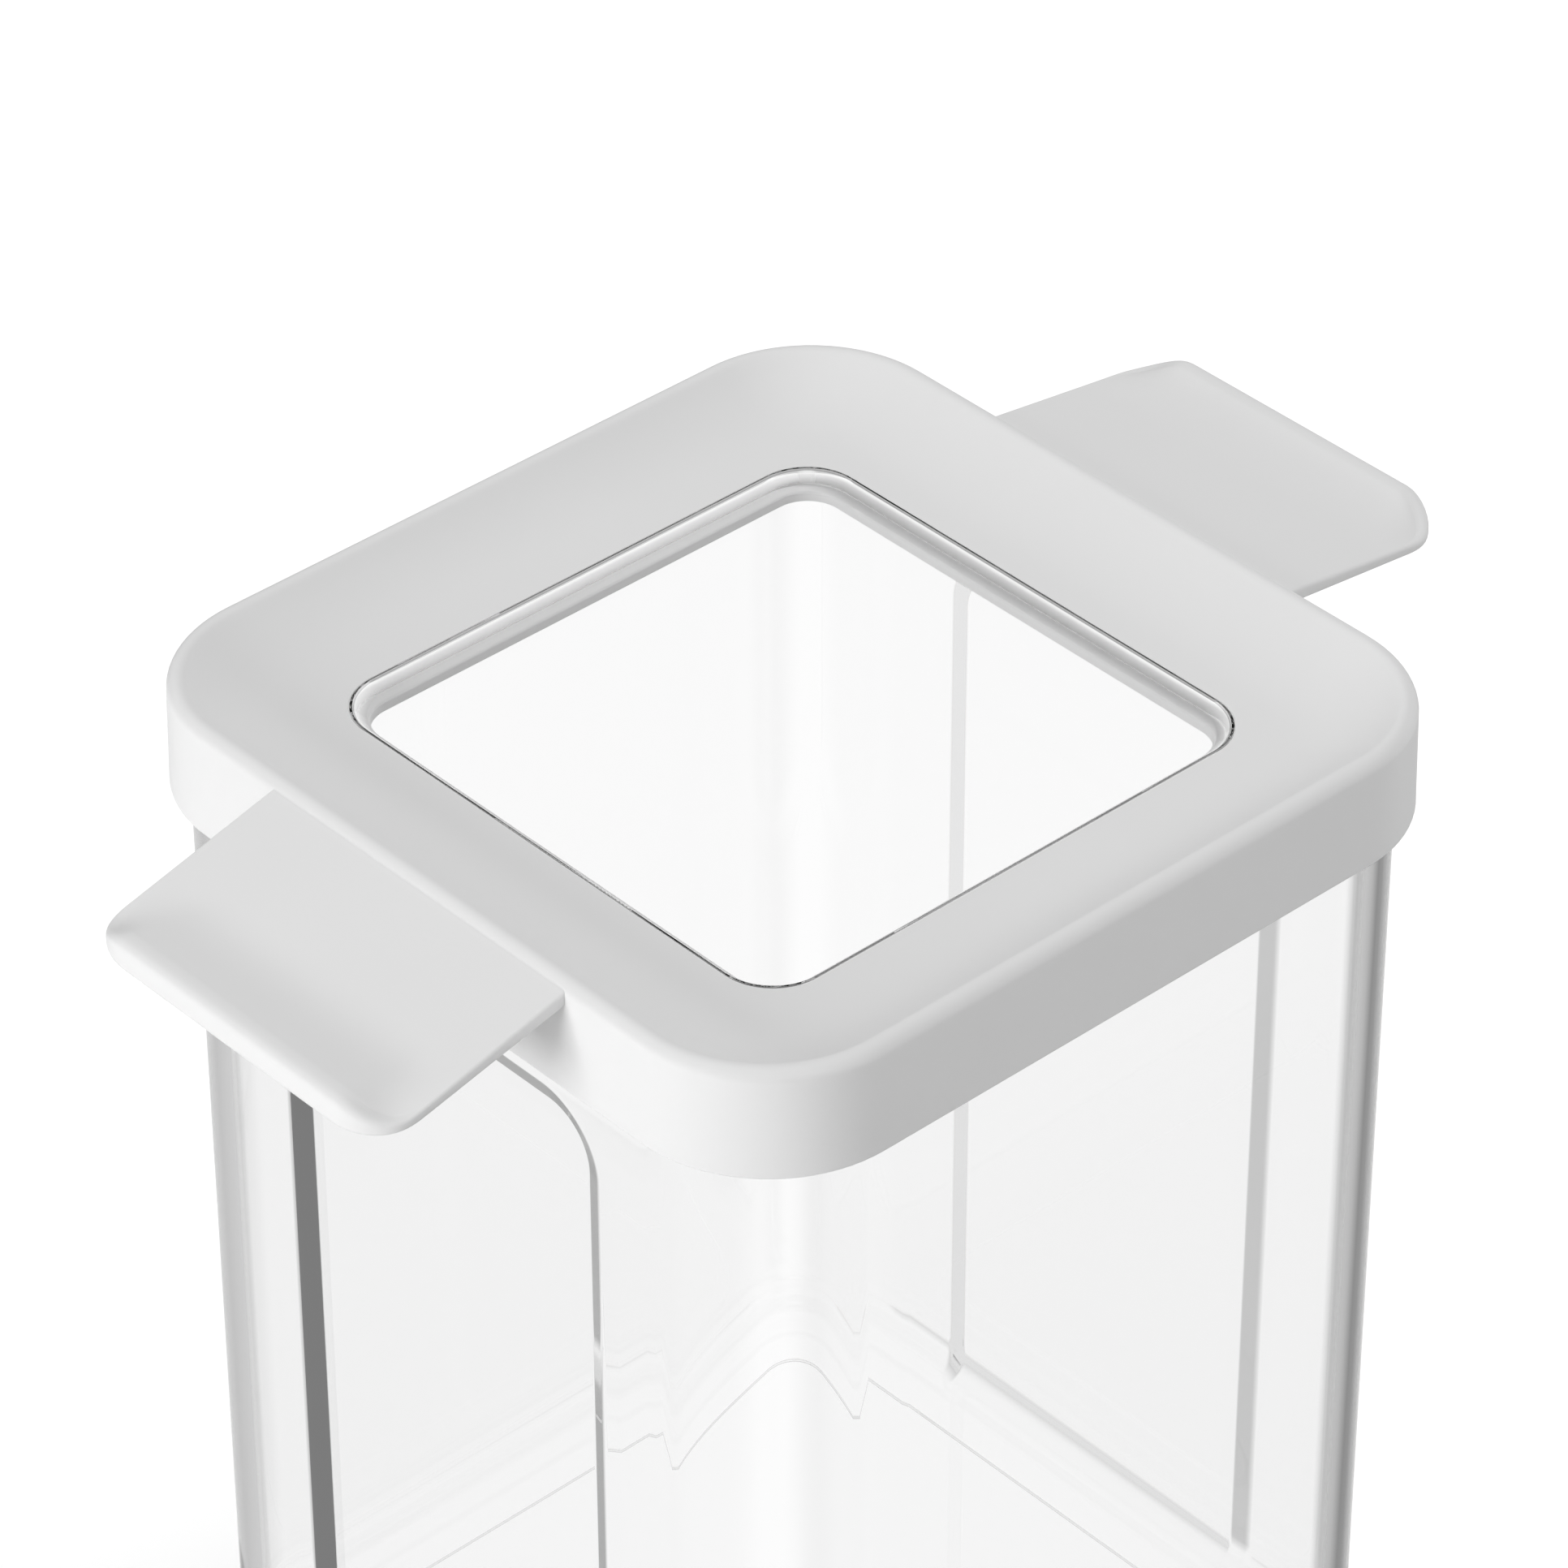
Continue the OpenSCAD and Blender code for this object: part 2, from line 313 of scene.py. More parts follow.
def place(name, mesh, material, body, node):
    """Makes the object of a piece, sets what it rides on and hides the node it stands for."""
    mesh.materials.append(material)
    piece = bpy.data.objects.new(name, mesh)
    bpy.context.scene.collection.objects.link(piece)
    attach(piece, body)
    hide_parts(node)


def arc(centre, radius, start, end, steps):
    """Points on a circle about centre, from one angle to another, in equal turns."""
    angles = np.linspace(start, end, steps + 1)
    return np.array(centre) + radius * np.stack([np.cos(angles), np.sin(angles)], axis=1)


def softened(corners, radius, steps=4, guard=0.0003):
    """Turns each corner of an open chain of points into an arc of the radius.

    The arc touches both sides at radius / tan(half angle) from the corner. A point stands guard
    before and after each arc, so that flat stretches stay flat under smooth shading.
    """
    corners = np.asarray(corners, dtype=float)
    chain = [corners[:1]]
    for before, corner, after in zip(corners[:-2], corners[1:-1], corners[2:]):
        back = (before - corner) / np.linalg.norm(before - corner)
        on = (after - corner) / np.linalg.norm(after - corner)
        half_angle = np.arccos(np.clip(back @ on, -1, 1)) / 2
        reach = radius / np.tan(half_angle)
        middle = (back + on) / np.linalg.norm(back + on)
        centre = corner + middle * radius / np.sin(half_angle)
        start = corner + back * reach - centre
        end = corner + on * reach - centre
        first = atan2(start[1], start[0])
        turn = (atan2(end[1], end[0]) - first + pi) % (2 * pi) - pi
        chain.append((corner + back * (reach + guard))[None])
        chain.append(arc(centre, radius, first, first + turn, steps))
        chain.append((corner + on * (reach + guard))[None])
    chain.append(corners[-1:])
    return np.concatenate(chain)


def square_rings(half, z, centre, shares, corner_steps):
    """Rings round rounded squares, one for each row of half width, height and corner centre.

    Each side runs straight between its two corner centres, at shares of that distance from -1
    to 1, the first set for the front and the back and the second for the other two. Each corner
    is an arc of radius half - centre about its centre. The last column repeats the first, so
    that the grid closes.
    """
    half, z, centre = (np.asarray(value, dtype=float)[:, None] for value in (half, z, centre))
    angles = np.linspace(0, pi / 2, corner_steps + 1)[None, 1:-1]
    turned = np.stack([centre + (half - centre) * np.sin(angles),
                       -centre - (half - centre) * np.cos(angles)], axis=-1)
    quarters = []
    for turns in range(4):
        along = centre * np.asarray(shares[turns % 2])[None]
        side = np.stack([along, -half + 0 * along], axis=-1)
        quarter = np.concatenate([side, turned], axis=1)
        for _ in range(turns):
            quarter = np.stack([-quarter[..., 1], quarter[..., 0]], axis=-1)
        quarters.append(quarter)
    ring = np.concatenate(quarters + [quarters[0][:, :1]], axis=1)
    return np.concatenate([ring, np.broadcast_to(z[:, :, None], ring.shape[:2] + (1,))], axis=-1)


def ease(value):
    """Smooth step from 0 to 1: 3t^2 - 2t^3 with t held between 0 and 1."""
    t = np.clip(value, 0, 1)
    return t * t * (3 - 2 * t)


# ---- jar ----

def recess_cover(jar, x, z):
    """Depth of a grip recess at each point, 0 outside and 1 on its floor.

    The floor is a rectangle, open below, whose two upper corners are rounded. From the slope's
    outer edge, t = 0, to the floor, t = 1, the depth is k t^2 / 2a up to the blend a and
    k (t - a / 2) from there, with k = 1 / (1 - a / 2).
    """
    radius = jar.recess_round
    dx = np.abs(x) - (jar.recess_w / 2 - radius)
    dz = z - (JAR_HIGH.z - jar.recess_drop - radius)
    outside = np.hypot(np.maximum(dx, 0), np.maximum(dz, 0)) + np.minimum(np.maximum(dx, dz), 0)
    t = np.clip(1 - (outside - radius) / jar.recess_soft, 0, 1)
    blend = jar.recess_blend
    return np.where(t < blend, t * t / (2 * blend), t - blend / 2) / (1 - blend / 2)


def jar_section(jar):
    """Rows of the jar's wall from the middle underneath, out, up, over the rim and back inside.

    Gives half width, height, and the share of the recess's push, which only the outside has.
    """
    outer, inner = JAR_HIGH.x, JAR_HIGH.x - jar.wall
    rim_z = JAR_HIGH.z
    floor_z = jar.hollow + jar.floor
    foot_x = outer - jar.foot_round
    hollow_x = foot_x - jar.foot_ring
    top = rim_z - jar.recess_drop
    corner_z = top - jar.recess_round
    heights = np.concatenate([np.linspace(jar.foot_round, corner_z, 12)[1:-1],
                              np.linspace(corner_z, top + jar.recess_soft, 72)[:-1],
                              np.linspace(top + jar.recess_soft, rim_z - jar.rim_round, 6)])
    under = softened([(0.0, jar.hollow), (hollow_x - jar.foot_taper, jar.hollow),
                      (hollow_x, 0.0), (foot_x, 0.0)], jar.foot_edge)
    foot = arc((foot_x, jar.foot_round), jar.foot_round, -pi / 2, 0, 10)
    wall = np.stack([np.full(len(heights), outer), heights], axis=1)
    rim_out = arc((outer - jar.rim_round, rim_z - jar.rim_round), jar.rim_round, 0, pi / 2, 6)[1:]
    rim_in = arc((inner + jar.rim_round, rim_z - jar.rim_round), jar.rim_round, pi / 2, pi, 6)
    inner_low = floor_z + jar.floor_round
    inside = np.linspace(rim_z - jar.rim_round, inner_low, 12)[1:-1]
    bore = np.stack([np.full(len(inside), inner), inside], axis=1)
    cove = arc((inner - jar.floor_round, inner_low), jar.floor_round, 0, -pi / 2, 10)
    guard = 0.003
    disc_x = np.linspace(inner - jar.floor_round - guard, 0, 12)
    disc = np.stack([disc_x, np.full(len(disc_x), floor_z)], axis=1)
    outside = np.concatenate([under, foot[1:], wall, rim_out])
    within = np.concatenate([rim_in, bore, cove, disc])
    half, z = np.concatenate([outside, within]).T
    push = ease((half - hollow_x) / (foot_x - hollow_x))
    push[len(outside):] = 0
    return half, z, push


def jar_surface(jar):
    """The jar as one closed surface: its section swept round a rounded square.

    Each recess pushes the outer points of the front and the back wall towards the axis by its
    depth times its cover.
    """
    half, z, push = jar_section(jar)
    centre = jar.corner_at * np.minimum(1, half / (JAR_HIGH.x - jar.wall - jar.floor_round))
    fine = (jar.recess_w / 2 - jar.recess_round, jar.recess_w / 2 + jar.recess_soft)
    across = np.concatenate([np.linspace(0, fine[0], 5)[1:], np.linspace(*fine, 61)[1:],
                             np.linspace(fine[1], jar.corner_at, 5)[1:]]) / jar.corner_at
    shares = np.concatenate([-across[::-1], [0], across])
    grid = square_rings(half, z, centre, (shares, np.linspace(-1, 1, 13)), 24)
    x, y = grid[..., 0], grid[..., 1]
    faces_y = (np.abs(y) >= half[:, None] - WELD) & (np.abs(x) <= centre[:, None] + WELD)
    cover = recess_cover(jar, x, z[:, None])
    grid[..., 1] -= np.sign(y) * faces_y * jar.recess_depth * push[:, None] * cover
    return shell_from_grids("glass_jar_body", [grid])


# ---- lid ----

def crest_circles(lid):
    """Centres and radii of the dish and of the crest, which touch each other, in the section."""
    dish_x = OPEN_X + lid.flat_border
    crest = np.array([LID_HIGH.x - lid.skirt_draft - lid.crest_round, CREST_Z - lid.crest_round])
    rise = CREST_Z - FLAT_Z
    run = crest[0] - dish_x
    dish_r = (run * run + rise * rise) / (2 * rise) - lid.crest_round
    return np.array([dish_x, FLAT_Z + dish_r]), dish_r, crest


def lid_section(lid, window):
    """Closed section of the lid frame: over dish and crest, down the skirt and back under."""
    dish, dish_r, crest = crest_circles(lid)
    to_crest = atan2(*(crest - dish)[::-1])
    over = arc(crest, lid.crest_round, to_crest + pi, 0, 18)
    hollow = arc(dish, dish_r, -pi / 2, to_crest, 20)
    skirt_z = CREST_Z - lid.skirt_h
    rim_x = LID_HIGH.x - lid.skirt_t
    seat_z = JAR_HIGH.z + lid.seat_gap
    plug = lid.plug_half
    plug_in = plug - lid.plug_t
    under_z = FLAT_Z - lid.top_t
    groove = (SEAL_LOW.z, SEAL_HIGH.z)
    under = softened([
        over[-1], (LID_HIGH.x, skirt_z), (rim_x, skirt_z), (rim_x, seat_z), (plug, seat_z),
        (plug, groove[1]), (plug - lid.groove_d, groove[1]), (plug - lid.groove_d, groove[0]),
        (plug, groove[0]), (plug, LID_LOW.z), (plug_in, LID_LOW.z), (plug_in, under_z),
        (OPEN_X + lid.boss_w, under_z), (OPEN_X + lid.boss_w, LEDGE_Z - lid.ledge_t),
        (OPEN_X - lid.ledge_w, LEDGE_Z - lid.ledge_t), (OPEN_X - lid.ledge_w, LEDGE_Z),
        (OPEN_X, LEDGE_Z), (OPEN_X, FLAT_Z - lid.edge),
    ], lid.edge, steps=3, guard=0.0001)
    brim = softened([(OPEN_X, FLAT_Z - lid.edge), (OPEN_X, FLAT_Z), (dish[0], FLAT_Z)],
                    window.edge, steps=2, guard=0.00005)
    return np.concatenate([hollow, over[1:], under[1:-1], brim])


def lid_shell(lid, window, corner_at):
    """The lid frame as one ring: its section swept round a rounded square.

    The corner centre runs from the window's, at the opening's edge, to the skirt's further out.
    """
    section = lid_section(lid, window)
    window_centre = OPEN_X - window.corner
    outer = ease((section[:, 0] - OPEN_X) / lid.flat_border)
    centre = window_centre + (corner_at - window_centre) * outer
    shares = np.linspace(-1, 1, 17)
    grid = square_rings(section[:, 0], section[:, 1], centre, (shares, shares), 20)
    return shell_from_grids("lid_ring", [grid])


def wing_line(wing, slope):
    """Start of the wing's sloping top, and the directions along it and square to it."""
    start = np.array([LID_HIGH.x, CREST_Z - wing.root_drop])
    on = np.array([np.cos(slope), -np.sin(slope)])
    up = np.array([np.sin(slope), np.cos(slope)])
    return start, on, up


def wing_root(wing, lid, slope):
    """Fillet between the wing's sloping top and the crest's circle, as points from the crest out.

    Its centre is one rounding above the slope and one rounding off the crest's circle.
    """
    crest = crest_circles(lid)[2]
    start, on, up = wing_line(wing, slope)
    from_crest = start + wing.root_round * up - crest
    apart = lid.crest_round + wing.root_round
    along = from_crest @ on
    ahead = -along + np.sqrt(along ** 2 - from_crest @ from_crest + apart ** 2)
    middle = start + wing.root_round * up + ahead * on
    to_crest = atan2(*(crest - middle)[::-1]) % (2 * pi)
    to_slope = atan2(*(-up)[::-1]) % (2 * pi)
    fillet = arc(middle, wing.root_round, to_crest, to_slope, 8)
    inside = crest + (middle - crest) * 0.5 * lid.crest_round / apart
    return np.concatenate([inside[None], fillet])


def wing_heights(wing, slope, y, fade, inward):
    """Top of the wing, from the distance inward from its outline along y.

    The top leaves the slope on a circle that touches the lip's circle, then follows the lip's
    circle to its crest. Fade, from 0 to 1, lets the lip sink into the blade at the corners.
    """
    end = LID_HIGH.y
    reach = end - LID_HIGH.x
    start, on, up = wing_line(wing, slope)
    bend = start + on * reach * wing.bend_share / on[0]
    lip = lip_centre(wing, slope)
    gap = bend - lip
    hollow_r = (gap @ gap - wing.lip_round ** 2) / (2 * (wing.lip_round - gap @ up))
    hollow = bend + hollow_r * up
    touch = lip + wing.lip_round * (hollow - lip) / (hollow_r + wing.lip_round)
    out = end - np.maximum(inward, wing.lip_round)
    slope_z = start[1] - (out - start[0]) * np.tan(slope)
    bowl = hollow[1] - np.sqrt(np.maximum(hollow_r ** 2 - (out - hollow[0]) ** 2, 0))
    round_z = lip[1] + np.sqrt(np.maximum(wing.lip_round ** 2 - (out - lip[0]) ** 2, 0))
    top = np.where(out < bend[0], slope_z, np.where(out < touch[0], bowl, round_z))
    blade = start[1] - (y - start[0]) * np.tan(slope)
    return blade + fade * (top - slope_z)


def lip_centre(wing, slope):
    """Centre of the lip's circle in the wing's section."""
    lip_y = LID_HIGH.y - wing.lip_round
    fall = wing.blade_t / np.cos(slope) + (lip_y - LID_HIGH.x) * np.tan(slope)
    return np.array([lip_y, CREST_Z - wing.root_drop - fall + wing.lip_round + wing.lip_lift])


def wing_underside(wing, slope, y):
    """Height of the wing's underside: a straight line from the root to under the lip."""
    lip = lip_centre(wing, slope)
    root_z = CREST_Z - wing.root_drop - wing.blade_t / np.cos(slope)
    tip_z = lip[1] - wing.lip_round
    return root_z + (y - LID_HIGH.x) * (tip_z - root_z) / (lip[0] - LID_HIGH.x)


def wing_shell(wing, lid, slope):
    """One wing as a top grid, an underside grid and a rounded strip round their edges.

    Columns run outwards and end on the wing's outline, which turns each outer corner about a
    centre. The strip joins top and underside by half an ellipse along the outline's normal.
    """
    root = wing_root(wing, lid, slope)
    half_w, end, corner = wing.half_w, LID_HIGH.y, wing.corner
    turn = np.linspace(0, pi / 2, 15)[1:]
    corner_x = half_w - corner + (corner - wing.side_round) * np.sin(turn)
    flat_x = np.linspace(0, half_w - corner, 12)
    x_half = np.concatenate([flat_x, corner_x])
    turn_half = np.concatenate([0 * flat_x, turn])
    x = np.concatenate([-x_half[:0:-1], x_half])
    facing = np.concatenate([-turn_half[:0:-1], turn_half])
    front = end - corner + (corner - wing.lip_round) * np.cos(facing)
    crowding = 1.4
    spread = 1 - (1 - np.linspace(0, 1, 40)) ** crowding
    plain_y = root[-1, 0] + (front[None] - root[-1, 0]) * spread[1:, None]
    root_y = np.repeat(root[:, :1], len(x), axis=1)
    y = np.concatenate([root_y, plain_y])
    x = np.broadcast_to(x, y.shape)
    aside = np.clip((np.abs(x) - (half_w - corner)) / corner, 0, 1)
    outline = end - corner + corner * np.sqrt(1 - aside ** 2)
    fade = 1 - ease(aside / wing.lip_fade)
    top_z = wing_heights(wing, slope, y, fade, outline - y)
    top_z[:len(root)] = np.repeat(root[:, 1:], y.shape[1], axis=1)
    low_z = wing_underside(wing, slope, y)
    top = np.stack([x, y, top_z], axis=-1)
    low = np.stack([x, y, low_z], axis=-1)

    upper, lower = (np.concatenate([grid[:, 0], grid[-1, 1:-1], grid[::-1, -1]])
                    for grid in (top, low))
    normal_x = np.concatenate([np.full(len(y), -1.0), np.sin(facing[1:-1]), np.full(len(y), 1.0)])
    normal_y = np.concatenate([0 * y[:, 0], np.cos(facing[1:-1]), 0 * y[:, 0]])
    reach = np.hypot(normal_x * wing.side_round, normal_y * wing.lip_round)
    sweep = np.linspace(pi / 2, -pi / 2, 25)[:, None]
    middle, rise = (upper + lower) / 2, (upper[:, 2] - lower[:, 2]) / 2
    out = np.cos(sweep) ** wing.squareness
    up = np.sign(np.sin(sweep)) * np.abs(np.sin(sweep)) ** wing.squareness
    strip = np.stack([middle[:, 0] + normal_x * reach * out,
                      middle[:, 1] + normal_y * reach * out,
                      middle[:, 2] + rise * up], axis=-1)
    return shell_from_grids("wing", [top, low[::-1], strip])


# ---- window and seal ----

def window_surface(window):
    """The clear plate: a dished top, a sloping band, a thin level lip and a flat underside.

    Its underside reaches a hair into the ledge, as in a welded seat without air.
    """
    half = WINDOW_HIGH.x
    floor_z = FLAT_Z - window.dish
    low_z = LEDGE_Z - window.grip
    band_x = half - window.lip - window.band
    section = softened([(0, floor_z), (band_x, floor_z), (half - window.lip, FLAT_Z),
                        (half, FLAT_Z), (half, low_z), (0, low_z)], window.edge, guard=0.0002)
    centre = np.minimum(half - window.corner, section[:, 0] * (1 - window.corner / half))
    shares = np.linspace(-1, 1, 9)
    grid = square_rings(section[:, 0], section[:, 1], centre, (shares, shares), 16)
    return shell_from_grids("window_plate", [grid])


def seal_surface(seal, lid, corner_at):
    """The seal: a soft band with two round lips, swept round the plug.

    From its low edge, t = 0, to its high edge, t = 1, its front stands back by lip cos^2(2 pi t).
    """
    back = lid.plug_half - lid.groove_d + seal.grip
    low, high = SEAL_LOW.z, SEAL_HIGH.z
    t = np.linspace(0, 1, 41)
    front = np.stack([SEAL_HIGH.x - seal.lip * np.cos(2 * pi * t) ** 2,
                      low + seal.edge + (high - low - 2 * seal.edge) * t], axis=1)
    section = np.concatenate([[[back, low]], front, [[back, high], [back, low]]])
    centre = np.full(len(section), corner_at)
    shares = np.linspace(-1, 1, 5)
    grid = square_rings(section[:, 0], section[:, 1], centre, (shares, shares), 16)
    return shell_from_grids("seal_band", [grid])


# ---- materials ----

def grey(level):
    """An opaque grey."""
    return (level, level, level, 1)


def add_node(tree, kind, **sockets):
    """A shader node with values on its input sockets, named with spaces as underscores."""
    made = tree.nodes.new(kind)
    for name, value in sockets.items():
        made.inputs[name.replace("_", " ")].default_value = value
    return made


def add_math(tree, operation, *terms):
    """The result of a sum done by a node on terms that are sockets or numbers."""
    made = tree.nodes.new("ShaderNodeMath")
    made.operation = operation
    for entry, term in zip(made.inputs, terms):
        if isinstance(term, bpy.types.NodeSocket):
            tree.links.new(term, entry)
        else:
            entry.default_value = term
    return made.outputs["Value"]


def add_mix(tree, share_out, first, second):
    """The mix of two shaders by a socket that runs from 0, the first, to 1, the second."""
    made = tree.nodes.new("ShaderNodeMixShader")
    tree.links.new(share_out, made.inputs["Fac"])
    tree.links.new(first, made.inputs[1])
    tree.links.new(second, made.inputs[2])
    return made.outputs["Shader"]


def surface_group():
    """Node group for moulded and pressed surfaces: a slow mottle, a fine grain and their height."""
    name = "moulded_surface"
    if name in bpy.data.node_groups:
        return bpy.data.node_groups[name]
    tree = bpy.data.node_groups.new(name, "ShaderNodeTree")
    socket = tree.interface.new_socket
    inputs = {"Mottle Scale": 40, "Grain Scale": 1400, "Low": 0, "High": 1}
    for given_name, default in inputs.items():
        socket(given_name, in_out="INPUT", socket_type="NodeSocketFloat").default_value = default
    for result_name in ("Value", "Height"):
        socket(result_name, in_out="OUTPUT", socket_type="NodeSocketFloat")
    given = tree.nodes.new("NodeGroupInput")
    result = tree.nodes.new("NodeGroupOutput")
    where = tree.nodes.new("ShaderNodeTexCoord")
    mottle = add_node(tree, "ShaderNodeTexNoise", Detail=3.0, Roughness=0.5)
    grain = add_node(tree, "ShaderNodeTexNoise", Detail=2.0, Roughness=0.6)
    levels = add_node(tree, "ShaderNodeMapRange", From_Min=0.3, From_Max=0.7)
    link = tree.links.new
    link(where.outputs["Object"], mottle.inputs["Vector"])
    link(where.outputs["Object"], grain.inputs["Vector"])
    link(given.outputs["Mottle Scale"], mottle.inputs["Scale"])
    link(given.outputs["Grain Scale"], grain.inputs["Scale"])
    link(mottle.outputs["Fac"], levels.inputs["Value"])
    link(given.outputs["Low"], levels.inputs["To Min"])
    link(given.outputs["High"], levels.inputs["To Max"])
    link(levels.outputs["Result"], result.inputs["Value"])
    link(grain.outputs["Fac"], result.inputs["Height"])
    return tree


def new_material(name):
    """An empty node material and its tree, shader and output."""
    material = bpy.data.materials.new(name)
    material.use_nodes = True
    tree = material.node_tree
    return material, tree, tree.nodes["Principled BSDF"], tree.nodes["Material Output"]


def textured(tree, **values):
    """Places the moulded-surface group in a material with its own values."""
    group = tree.nodes.new("ShaderNodeGroup")
    group.node_tree = surface_group()
    for name, value in values.items():
        group.inputs[name.replace("_", " ")].default_value = value
    return group


def bumped(tree, shader, height, strength, distance):
    """Feeds a height to the shader's normal through a bump."""
    bump = add_node(tree, "ShaderNodeBump", Strength=strength, Distance=distance)
    tree.links.new(height, bump.inputs["Height"])
    tree.links.new(bump.outputs["Normal"], shader.inputs["Normal"])


def plastic_material(name, base, rough, index):
    """Satin moulded plastic: colour a little uneven, fine grain, soft gloss."""
    material, tree, shader, _ = new_material(name)
    group = textured(tree, Mottle_Scale=28, Grain_Scale=2600, Low=0.0, High=1.0)
    darker = 0.985
    mix = tree.nodes.new("ShaderNodeMix")
    mix.data_type = "RGBA"
    mix.inputs["A"].default_value = (*[channel * darker for channel in base], 1)
    mix.inputs["B"].default_value = (*base, 1)
    tree.links.new(group.outputs["Value"], mix.inputs["Factor"])
    tree.links.new(mix.outputs["Result"], shader.inputs["Base Color"])
    shader.inputs["Roughness"].default_value = rough
    shader.inputs["IOR"].default_value = index
    bumped(tree, shader, group.outputs["Height"], strength=0.05, distance=0.0001)
    return material


def glass_material(name, base, finish):
    """Clear glass that lets lamp light through to what stands behind it.

    Light that has turned inside a wall three times ends in a painted glow, an emission that stands
    in for the grey light seen inside the walls. Its strength goes by the number of surfaces the
    light had come through: one for the nearest wall and three for the wall behind it.
    """
    material, tree, shader, output = new_material(name)
    rough = finish.glass_rough
    group = textured(tree, Mottle_Scale=22, Grain_Scale=900, Low=rough, High=2 * rough + 0.002)
    shader.inputs["Base Color"].default_value = (*base, 1)
    shader.inputs["Transmission Weight"].default_value = 1.0
    shader.inputs["IOR"].default_value = finish.glass_index
    tree.links.new(group.outputs["Value"], shader.inputs["Roughness"])
    path = tree.nodes.new("ShaderNodeLightPath")
    clear = add_node(tree, "ShaderNodeBsdfTransparent", Color=grey(finish.lamp_share))
    level = add_node(tree, "ShaderNodeMapRange", From_Min=NEAR_WALL, From_Max=FAR_WALL,
                     To_Min=finish.near_painted_glow, To_Max=finish.far_painted_glow)
    # Painted glow: an emission that ends the path once it has turned inside a wall.
    held = tree.nodes.new("ShaderNodeEmission")
    tree.links.new(path.outputs["Transmission Depth"], level.inputs["Value"])
    tree.links.new(level.outputs["Result"], held.inputs["Strength"])
    turned = add_math(tree, "GREATER_THAN", path.outputs["Glossy Depth"], GLOW_AFTER_TURNS)
    ended = add_mix(tree, turned, shader.outputs["BSDF"], held.outputs["Emission"])
    seen = add_mix(tree, path.outputs["Is Shadow Ray"], ended, clear.outputs["BSDF"])
    tree.links.new(seen, output.inputs["Surface"])
    return material


def paint_rim_glow(material, low_z, high_z, level):
    """Adds a painted glow to a plate's sloping rim as a painted highlight: an emission that grows
    with height and ends at the high one.
    """
    tree = material.node_tree
    where = tree.nodes.new("ShaderNodeTexCoord")
    parts = tree.nodes.new("ShaderNodeSeparateXYZ")
    rise = add_node(tree, "ShaderNodeMapRange", From_Min=low_z, From_Max=high_z, To_Max=level)
    shader = tree.nodes["Principled BSDF"]
    shader.inputs["Emission Color"].default_value = WHITE
    tree.links.new(where.outputs["Object"], parts.inputs["Vector"])
    tree.links.new(parts.outputs["Z"], rise.inputs["Value"])
    below = add_math(tree, "LESS_THAN", parts.outputs["Z"], high_z)
    rim = add_math(tree, "MULTIPLY", rise.outputs["Result"], below)
    tree.links.new(rim, shader.inputs["Emission Strength"])


# ---- stage ----

def outward(azimuth, elevation):
    """Direction out from the axis: azimuth 0 is the front, -Y, and grows towards +X."""
    return Vector((np.sin(azimuth) * np.cos(elevation), -np.cos(azimuth) * np.cos(elevation),
                   np.sin(elevation)))


def place_camera(stage):
    """Stands the camera off the crest's middle, by its distance and its two small steps."""
    back = outward(stage.azimuth, stage.elevation)
    right = Vector((np.cos(stage.azimuth), np.sin(stage.azimuth), 0))
    up = back.cross(right)
    cos_r, sin_r = np.cos(stage.roll), np.sin(stage.roll)
    turned_right = right * cos_r - up * sin_r
    turned_up = right * sin_r + up * cos_r
    aside = stage.aside * cos_r + stage.above * sin_r
    above = -stage.aside * sin_r + stage.above * cos_r
    data = bpy.data.cameras.new("camera")
    data.lens = stage.lens
    data.sensor_width = stage.sensor
    data.sensor_fit = "HORIZONTAL"
    data.clip_end = 20
    camera = bpy.data.objects.new("camera", data)
    bpy.context.scene.collection.objects.link(camera)
    turn = Matrix((turned_right, turned_up, back)).transposed().to_4x4()
    spot = right * aside + up * above + back * stage.distance + Vector((0, 0, CREST_Z))
    camera.matrix_world = Matrix.Translation(spot) @ turn
    bpy.context.scene.camera = camera


def area_light(name, away, stage, power):
    """A square area light that faces the crest's middle from a direction."""
    data = bpy.data.lights.new(name, "AREA")
    data.shape = "SQUARE"
    data.size = stage.lamp_size
    data.energy = power
    lamp = bpy.data.objects.new(name, data)
    bpy.context.scene.collection.objects.link(lamp)
    lamp.location = away * stage.lamp_away + Vector((0, 0, CREST_Z))
    lamp.rotation_euler = away.to_track_quat("Z", "Y").to_euler()
    lamp.visible_camera = False
    lamp.visible_glossy = False
    lamp.visible_transmission = False


def seen_by(tree, *outputs):
    """A socket that is 1 for the named kinds of ray and 0 for others."""
    path = tree.nodes.new("ShaderNodeLightPath")
    total = path.outputs[outputs[0]]
    for output in outputs[1:]:
        total = add_math(tree, "MAXIMUM", total, path.outputs[output])
    return total


def room_ramp(tree, position, levels):
    """A ramp of grey over a position that runs from -1 to 1."""
    spread = add_node(tree, "ShaderNodeMapRange", From_Min=-1)
    ramp = tree.nodes.new("ShaderNodeValToRGB")
    stops = ramp.color_ramp.elements
    while len(stops) < len(levels):
        stops.new(0.5)
    for stop, (at, level) in zip(stops, levels):
        stop.position = (at + 1) / 2
        stop.color = grey(level)
    tree.links.new(position, spread.inputs["Value"])
    tree.links.new(spread.outputs["Result"], ramp.inputs["Fac"])
    return ramp.outputs["Color"]


